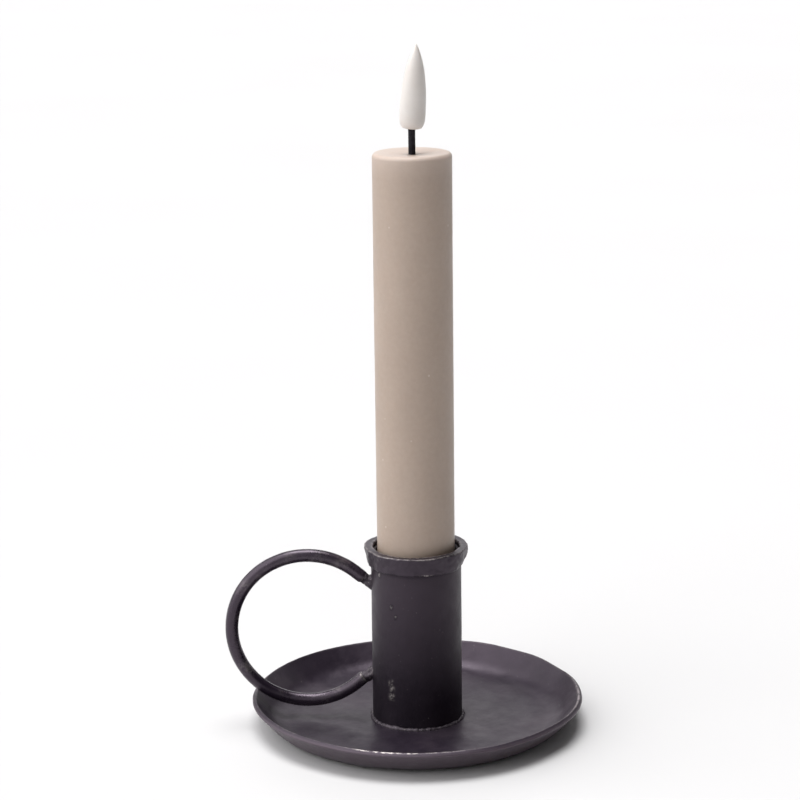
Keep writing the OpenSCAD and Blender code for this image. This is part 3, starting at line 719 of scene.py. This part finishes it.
def make_handle_weld(name, end, weld):
    """A lumpy bead that spreads from the bar's end onto the tube. end is 1 up, -1 down."""
    points, bar_r = handle_path()
    tip, before = (points[0], points[1]) if end > 0 else (points[-1], points[-2])
    way = (tip - before).normalized()
    start = tip - way * (BAR_SHORT / math.sin(HANDLE_ANGLE) + 0.6 * MM)
    spread = bar_r / math.sin(HANDLE_ANGLE) + WELD_LEG
    finish = tip + WELD_LEG * X_AXIS
    rings = []
    wear_and_painted_light = []
    for i in range(WELD_STEPS + 1):
        t = i / WELD_STEPS
        centre = start.lerp(finish, t)
        axis = way.lerp(X_AXIS, smooth_step(0, 0.75, t)).normalized()
        up = Vector((-axis.z, 0, axis.x))
        grow = t ** 2
        tall = bar_r * 0.88 + (spread * 0.86 - bar_r * 0.88) * grow
        wide = bar_r * 0.86 + (spread * 0.68 - bar_r * 0.86) * grow
        ring = []
        for k in range(WELD_AROUND):
            a = 2 * math.pi * k / WELD_AROUND
            spoke = up * math.cos(a) * tall + Y_AXIS * math.sin(a) * wide
            p = centre + spoke
            lump = 0.3 * lumps(p, 1.7 * MM, 20 + end) + 0.12 * lumps(p, 0.7 * MM, 21) - 0.08
            notch = 0.3 * near_angle(0, 50, a) * (1 - smooth_step(0.12, 0.4, abs(t - 0.32)))
            lump = min(0.04, lump - notch)
            ring.append(centre + spoke * (1 + lump * smooth_step(0.02, 0.25, t)))
            wear_and_painted_light.append(0.75 * smooth_step(0.1, 0.5, t) + notch)
        rings.append(ring)
    bm = loft(rings)
    new_piece(name, bm, wear_and_painted_light, weld, "holder", "handle_welds", slot="weld_iron")


def make_foot_weld(weld):
    """The thin, uneven bead around the tube's foot."""
    low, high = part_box("foot_weld")
    tube_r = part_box("socket_tube")[1].x
    leg = high.z - low.z
    outline = [(tube_r - 0.4 * MM, low.z - 0.3 * MM), (tube_r + leg, low.z - 0.3 * MM)]
    outline += arc(tube_r, low.z, leg, 0, 90, 9) + [(tube_r - 0.4 * MM, high.z)]
    outline = without_repeats(filled(outline, 0.3 * MM))

    def warp(r, z, a, i):
        bead = 0.52 + 0.24 * lumps(polar(tube_r, a, 0), 3.4 * MM, 14)
        bead += 0.16 * lumps(polar(tube_r, a, 0), 1.1 * MM, 15) + 0.05 * math.sin(46 * a)
        bead = min(1.0, max(0.22, bead))
        rr = tube_r + (r - tube_r) * bead if r > tube_r else r
        zz = low.z + (z - low.z) * bead if z > low.z else z
        return rr, zz, 0.4

    bm, wear_and_painted_light = lathe(outline, BEAD_AROUND, warp, closed=True)
    new_piece("foot_bead", bm, wear_and_painted_light, weld, "holder", "foot_weld", slot="weld_iron")


# ---- Candle ----

def make_wax(wax):
    """The wax sleeve: barely uneven sides, a rounded rim and a shallow hollow on top."""
    low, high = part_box("wax_sleeve")
    outer, foot, top = high.x, low.z, high.z
    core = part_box("battery_tube")[1].x
    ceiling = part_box("wick_plug")[1].z
    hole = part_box("wick_tube")[1].x + WICK_CLEAR
    rim = outer - WAX_ROUND
    e = 0.6 * MM
    pool = []
    for i in range(1, POOL_STEPS + 1):
        t = i / POOL_STEPS
        sink = POOL_DEPTH * (1 - math.cos(math.pi * t)) / 2
        pool.append((rim + (hole - rim) * t, top - sink))
    outline = [(core, foot), (outer - e, foot)] + arc(outer - e, foot + e, e, -90, 0, 4)
    outline += arc(rim, top - WAX_ROUND, WAX_ROUND, 0, 90, 8) + pool
    outline += [(hole, ceiling), (core, ceiling), (core, foot)]
    outline = without_repeats(filled(outline, 2.5 * MM))[:-1]

    def warp(r, z, a, i):
        skin = smooth_step(core + 1 * MM, outer, r) * smooth_step(0, 3 * MM, z - foot)
        uneven = 0.03 * MM * lumps(polar(r, a, z * 0.5), 9 * MM, 16)
        on_top = smooth_step(top - 2 * MM, top - POOL_DEPTH, z)
        puckers = 0.06 * MM * lumps(polar(r, a, 0), 1.3 * MM, 17) * on_top
        near_wick = 1 - smooth_step(0, 1.6 * MM, r - hole)
        ripple = 0.12 * MM * near_wick * on_top * math.cos(1.6 * (r - hole) / MM * math.pi)
        # Painted light: the top is painted paler, fading about 7 mm down the side, as if lit
        # from above.
        painted_top_light = 0.2 * smooth_step(top - 1.4 * MM, top - 0.2 * MM, z)
        painted_top_light += 0.3 * smooth_step(top - 7 * MM, top - 0.8 * MM, z)
        return r - skin * (0.03 * MM - uneven), z - abs(puckers) - 0.5 * abs(ripple), painted_top_light

    bm, wear_and_painted_light = lathe(outline, WAX_AROUND, warp, closed=True)
    new_piece("wax_body", bm, wear_and_painted_light, wax, "candle", "wax_sleeve", slot="wax")


def make_wick(black):
    """The wick sleeve, a fine tube with a slightly uneven skin."""
    low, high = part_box("wick_tube")
    outer = high.x
    inner = outer - WICK_WALL
    outline = filled([(inner, low.z), (outer, low.z), (outer, high.z), (inner, high.z),
                      (inner, low.z)], 0.5 * MM)
    outline = without_repeats(outline)[:-1]

    def warp(r, z, a, i):
        skin = 0.05 * MM * (0.5 + 0.5 * lumps(polar(r, a, z), 0.8 * MM, 18))
        return (r - skin if r > (inner + outer) / 2 else r), z, 0.0

    bm, wear_and_painted_light = lathe(outline, WICK_AROUND, warp, closed=True)
    new_piece("wick", bm, wear_and_painted_light, black, "candle", "wick_tube", slot="wick_black")


def flame_radius(h):
    """Radius of the flame's outside at a height above its foot."""
    if h < FLAME_BELLY:
        swell = math.sqrt(max(0.0, 1 - (1 - h / FLAME_BELLY) ** 2))
        return (FLAME_FOOT_D + (FLAME_D - FLAME_FOOT_D) * swell) / 2
    rise = (h - FLAME_BELLY) / (FLAME_LEN - FLAME_BELLY)
    return FLAME_D / 2 * max(0.0, 1 - rise ** FLAME_POWER) ** FLAME_TIP


def make_flame(opal):
    """The hollow flame: a turned drop with a thick tip, leaning a little towards +X."""
    wick_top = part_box("wick_tube")[1].z
    foot = wick_top - WICK_GRIP
    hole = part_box("wick_tube")[1].x
    outside = [(FLAME_FOOT_D / 2 - 0.3 * MM, 0.0)]
    for i in range(1, FLAME_STEPS + 1):
        h = FLAME_LEN * math.sin(math.pi / 2 * i / FLAME_STEPS) ** 1.3
        outside.append((flame_radius(h), h))
    outside[-1] = (0.0, FLAME_LEN)
    hollow_top = FLAME_LEN - FLAME_TIP_WALL
    inside = []
    for i in range(HOLLOW_STEPS + 1):
        h = hollow_top + (FLAME_WALL - hollow_top) * i / HOLLOW_STEPS
        inside.append((max(0.0, flame_radius(h) - FLAME_WALL) if i else 0.0, h))
    skin, _ = lathe([(hole, 0.0)] + without_repeats(outside), FLAME_AROUND)
    inner, _ = lathe(without_repeats(inside) + [(hole, FLAME_WALL)], FLAME_AROUND)
    mesh = bpy.data.meshes.new("flame_inside")
    inner.to_mesh(mesh)
    inner.free()
    skin.from_mesh(mesh)
    bpy.data.meshes.remove(mesh)
    bmesh.ops.remove_doubles(skin, verts=skin.verts, dist=TINY)
    close_bore(skin)
    place = Matrix.Translation((0, 0, foot)) @ Matrix.Rotation(FLAME_LEAN, 4, "Y")
    bmesh.ops.transform(skin, verts=skin.verts, matrix=place)
    skin.verts.ensure_lookup_table()
    wear_and_painted_light = [0.0] * len(skin.verts)
    new_piece("flame", skin, wear_and_painted_light, opal, "candle", "flame_shell", slot="flame_opal")


def close_bore(bm):
    """Joins the two open rings of the wick's hole with a wall."""
    open_edges = [e for e in bm.edges if e.is_boundary]
    bmesh.ops.bridge_loops(bm, edges=open_edges)


# ---- Inner pieces that keep their CAD shape ----

def finish_inner_nodes(nodes, iron):
    """Gives each carried-over CAD node its own procedural material."""
    white = plastic_material("white_plastic", (0.70, 0.69, 0.66), (0.80, 0.79, 0.76))
    grey = plastic_material("grey_plastic", (0.20, 0.20, 0.21), (0.27, 0.27, 0.28))
    cap = plastic_material("cap_plastic", (0.55, 0.49, 0.42), (0.64, 0.58, 0.50), (0.38, 0.52))
    brown = plastic_material("switch_base_brown", (0.14, 0.065, 0.03), (0.19, 0.09, 0.045))
    black = plastic_material("slider_black", (0.012, 0.012, 0.013), (0.028, 0.028, 0.030))
    chip = plastic_material("chip_epoxy", (0.014, 0.014, 0.015), (0.026, 0.026, 0.028),
                            (0.5, 0.65))
    wire = metal_material("plated_wire", (0.52, 0.52, 0.50), (0.74, 0.74, 0.72),
                          stretch=(1, 1, 0.1))
    plate = metal_material("plated_sheet", (0.56, 0.55, 0.52), (0.76, 0.75, 0.72),
                           stretch=(0.1, 1, 1))
    brass = metal_material("contact_brass", (0.50, 0.34, 0.12), (0.78, 0.58, 0.25))
    board = board_material()
    finishes = {
        "candle_seat": iron, "battery_tube": white, "wick_plug": grey,
        "flame_led": lens_material(), "led_leads": wire, "circuit_board": board,
        "driver_chip": chip, "positive_contact": brass, "negative_strip": plate,
        "battery_cap": cap, "contact_ring": brass, "negative_spring": wire,
        "switch_board": board, "switch_case": plate, "switch_base": brown,
        "switch_screws": wire, "switch_slider": black,
        "battery_1": cell_material(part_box("battery_1")),
        "battery_2": cell_material(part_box("battery_2")),
    }
    for name, finish in finishes.items():
        mesh = nodes[name].data
        mesh.materials.clear()
        mesh.materials.append(finish)


# ---- Studio ----

def make_floor():
    """A wide pale floor."""
    bm = bmesh.new()
    sides = ((-1, -1), (1, -1), (1, 1), (-1, 1))
    bm.faces.new([bm.verts.new((x * FLOOR_HALF, y * FLOOR_HALF, 0)) for x, y in sides])
    mesh = bpy.data.meshes.new("floor")
    bm.to_mesh(mesh)
    bm.free()
    floor = bpy.data.objects.new("floor", mesh)
    bpy.context.scene.collection.objects.link(floor)
    s = Shader("pale_floor", Roughness=0.6, Specular_IOR_Level=0.2)
    s.set("Base Color", s.ramp(s.noise(0.2, 3), (0.3, (0.598, 0.592, 0.596)),
                               (0.7, (0.608, 0.602, 0.606))))
    mesh.materials.append(s.material)


def make_light(name, come_from, softness, strength):
    """A distant soft light. come_from points towards it, and softness is its angle across."""
    data = bpy.data.lights.new(name, "SUN")
    data.angle = math.radians(softness)
    data.energy = strength
    light = bpy.data.objects.new(name, data)
    light.rotation_euler = Vector(come_from).to_track_quat("Z", "Y").to_euler()
    bpy.context.scene.collection.objects.link(light)


def make_world():
    """A nearly dark room, which looks white where the camera sees it past the floor."""
    world = bpy.data.worlds.new("studio")
    bpy.context.scene.world = world
    world.use_nodes = True
    tree = world.node_tree
    seen = tree.nodes.new("ShaderNodeLightPath")
    level = tree.nodes.new("ShaderNodeMapRange")
    level.inputs["To Min"].default_value = ROOM_LIGHT
    level.inputs["To Max"].default_value = WALL_LIGHT
    tree.links.new(seen.outputs["Is Camera Ray"], level.inputs["Value"])
    background = tree.nodes["Background"]
    background.inputs["Color"].default_value = (1, 1, 1, 1)
    tree.links.new(level.outputs["Result"], background.inputs["Strength"])


def make_studio():
    """The floor, the soft lights and the pale room around them."""
    make_floor()
    for light in LIGHTS:
        make_light(*light)
    make_world()


def make_camera():
    """A long lens that looks slightly down, with a very slight roll."""
    data = bpy.data.cameras.new("camera")
    data.lens = CAMERA_LENS
    data.sensor_width = CAMERA_SENSOR
    data.clip_start = CAMERA_NEAR
    camera = bpy.data.objects.new("camera", data)
    tilt = Matrix.Rotation(math.pi / 2 - CAMERA_DOWN, 4, "X")
    roll = Matrix.Rotation(CAMERA_ROLL, 4, "Z")
    camera.matrix_world = Matrix.Translation(CAMERA_AT) @ tilt @ roll
    bpy.context.scene.collection.objects.link(camera)
    bpy.context.scene.camera = camera


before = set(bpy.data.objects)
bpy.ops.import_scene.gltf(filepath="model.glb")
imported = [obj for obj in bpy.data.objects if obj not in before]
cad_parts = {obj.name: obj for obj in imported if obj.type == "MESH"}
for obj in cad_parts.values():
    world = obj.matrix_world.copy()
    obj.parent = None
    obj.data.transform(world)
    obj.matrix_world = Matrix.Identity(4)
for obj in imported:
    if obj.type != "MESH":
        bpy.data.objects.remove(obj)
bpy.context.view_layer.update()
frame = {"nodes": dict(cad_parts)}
bpy.context.scene.view_settings.view_transform = "Standard"
make_camera()
make_studio()

iron = iron_material()
weld = weld_material()
make_dish(iron)
# The tube's iron is a darker copy, painted shade: with its painted-light upper end, its colour
# carries the shading from top to foot.
make_tube(iron_material("tube_iron_painted_shade", 0.36, (0.42, 0.56), 0.36, (0.96, 0.8, 1.0)))
make_collar(iron_material("collar_iron", 0.65, (0.32, 0.48), 0.55))
make_handle(iron_material("handle_iron", 1.0, (0.22, 0.36), 0.62))
make_handle_weld("upper_weld", 1, weld)
make_handle_weld("lower_weld", -1, weld)
make_foot_weld(weld)
make_wax(wax_material())
make_wick(wick_material())
make_flame(flame_material())
finish_inner_nodes(frame["nodes"], iron)
